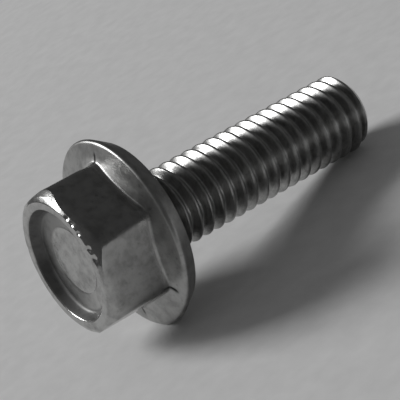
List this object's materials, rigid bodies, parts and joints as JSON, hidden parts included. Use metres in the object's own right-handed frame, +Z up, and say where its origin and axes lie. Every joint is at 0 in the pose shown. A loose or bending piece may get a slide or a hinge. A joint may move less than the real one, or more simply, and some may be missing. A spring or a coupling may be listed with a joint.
{
  "type": "flange bolt",
  "caption": "Hexagon flange bolt with an M6 thread up to the head, a washer-like flange forged on and a shallow recess in the head's top.",
  "frame": {"origin": "centre of the bearing face, on the bolt's axis", "axes": "The bolt stands on its head. +Z is up, along the axis from the head to the tip. +X is the side that is uppermost when the bolt lies as in the picture, 38.5 degrees about the axis from a corner of the hexagon."},
  "size_m": [0.014, 0.014, 0.0258],
  "materials": {
    "bolt_steel": "bright rolled and forged steel, slightly dulled on the head"
  },
  "bodies": {
    "root": {"flange_bolt": "bolt_steel"}
  },
  "joints": []
}
